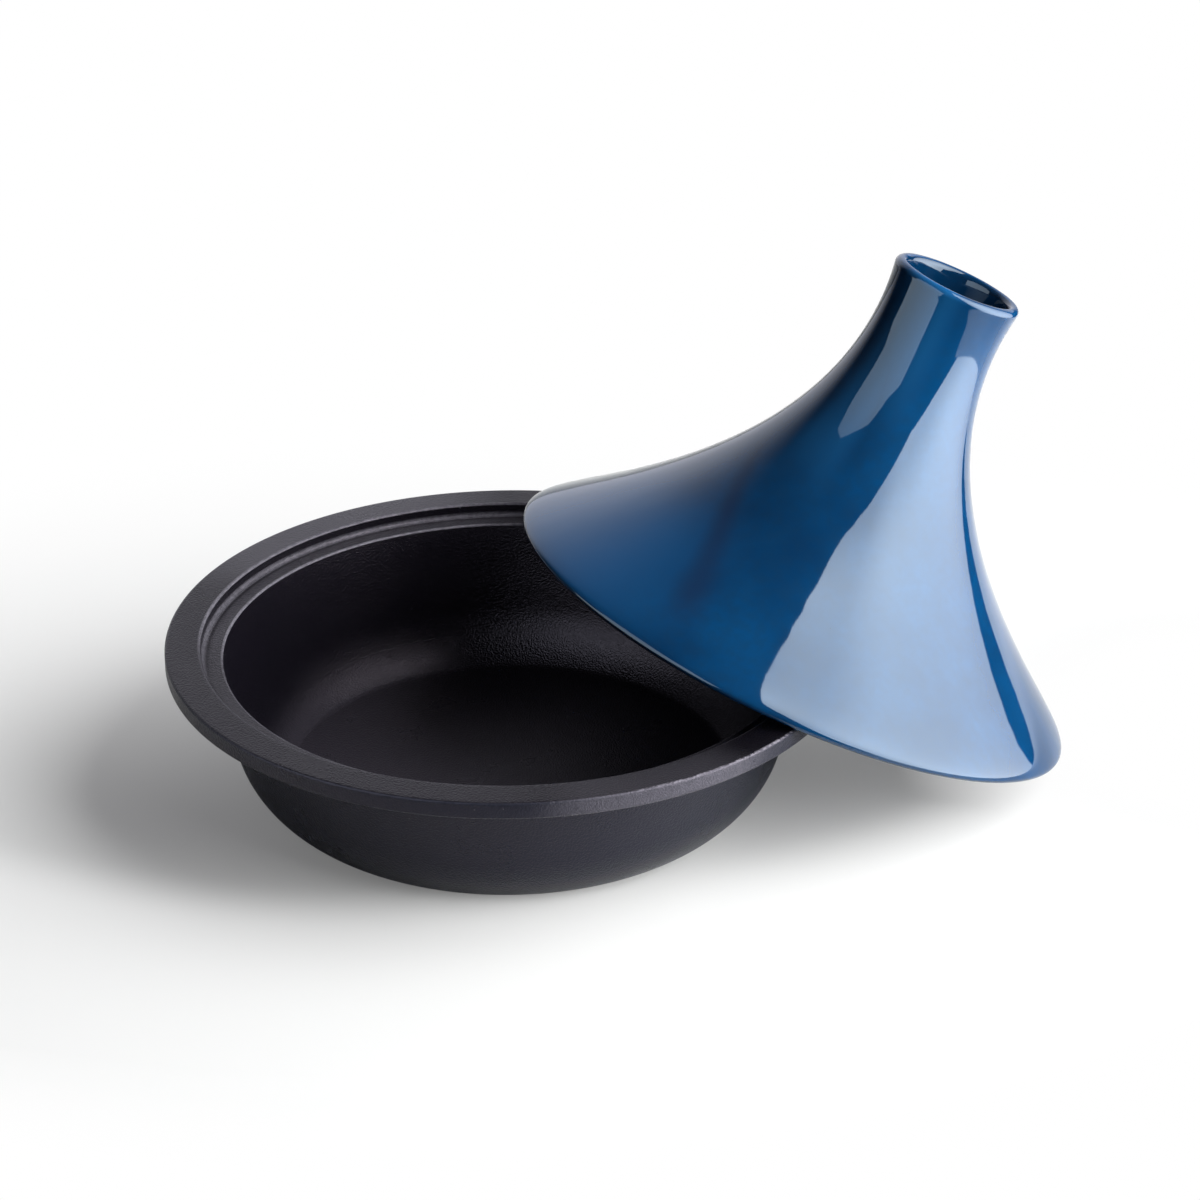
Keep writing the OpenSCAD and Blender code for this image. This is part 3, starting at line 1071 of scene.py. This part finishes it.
def upright_panel(name, azimuth, distance, outline):
    """A flat panel that faces the object. Its outline is in metres to the side and above the table."""
    angle = math.radians(azimuth)
    out = Vector((math.sin(angle), math.cos(angle), 0))
    across = Vector((out.y, -out.x, 0))
    mesh = bpy.data.meshes.new(name)
    mesh.from_pydata([(side, up, 0) for side, up in outline], [], [tuple(range(len(outline)))])
    panel = bpy.data.objects.new(name, mesh)
    where = Matrix((across, Vector((0, 0, 1)), out)).transposed().to_4x4()
    where.translation = PANELS_ROUND + out * distance
    panel.matrix_world = where
    scene.collection.objects.link(panel)
    panel.visible_camera = False
    return panel


print("softboxes stand round", list(PANELS_ROUND))

# %% [markdown]
# The glow is an Emission shader whose strength is a few ramps across the panel, where an area lamp could
# only be even. The tint is a trace of blue, as daylight tubes have.

# %% Softbox: the glow
def softbox(name, azimuth, distance, outline, sweep, strengths, droop, tint):
    """A glowing panel. Its strength goes from the first to the second value along the sweep."""
    panel = upright_panel(name, azimuth, distance, outline)
    made, tree, shader = material(name)
    tree.nodes.remove(shader)
    side, up, _ = add(tree, "SeparateXYZ", Vector=add(tree, "TexCoord").outputs["Object"]).outputs
    swept = ramp(tree, side, *sweep, *strengths)
    swept = maths(tree, "SUBTRACT", swept, ramp(tree, side, *DROOP, 0.0, droop))
    strength = product(tree, swept, ramp(tree, up, *LOW_FADE), ramp(tree, up, *HIGH_FADE))
    glow = add(tree, "Emission", Color=tint, Strength=strength)
    feed(tree, tree.nodes["Material Output"].inputs["Surface"], glow.outputs[0])
    panel.data.materials.append(made)
    print(f"{name}: {distance:.2f} m off, {strengths[0]} to {strengths[1]} bright")
    return panel


# %% [markdown]
# The large key stands close by on the right and reaches below the table, so that the long bright patch on
# the lid's side runs right down to the rim. The small card on the left draws the patch on the neck. It shows
# in the gloss only and doesn't light matt surfaces, which keeps the left of the dish dark.

# %% Softboxes
KEY_OUTLINE = [
    (-0.71, -0.6), (0.67, -0.6), (0.87, 0.05), (1.12, 0.7), (0.75, 2.15), (0.60, 2.31), (-0.71, 2.31),
]
CARD_OUTLINE = [
    (-0.36, 0.1), (0.56, 0.1), (0.62, 0.43), (0.42, 0.57), (0.4, 1.0),
    (0.28, 1.35), (0.05, 1.45), (-0.45, 1.18), (-0.52, 0.87), (-0.65, 0.72),
]
softbox(
    "key_softbox", azimuth=114, distance=0.85, outline=KEY_OUTLINE,
    sweep=(-0.9, 0.3), strengths=(2.1, 9.9), droop=2.8, tint=(0.96, 0.985, 1.0, 1),
)
card = softbox(
    "fill_card", azimuth=-105, distance=0.8, outline=CARD_OUTLINE,
    sweep=(-0.6, 0.6), strengths=(2.7, 2.0), droop=0.0, tint=(0.82, 0.92, 1.0, 1),
)
card.visible_diffuse = False
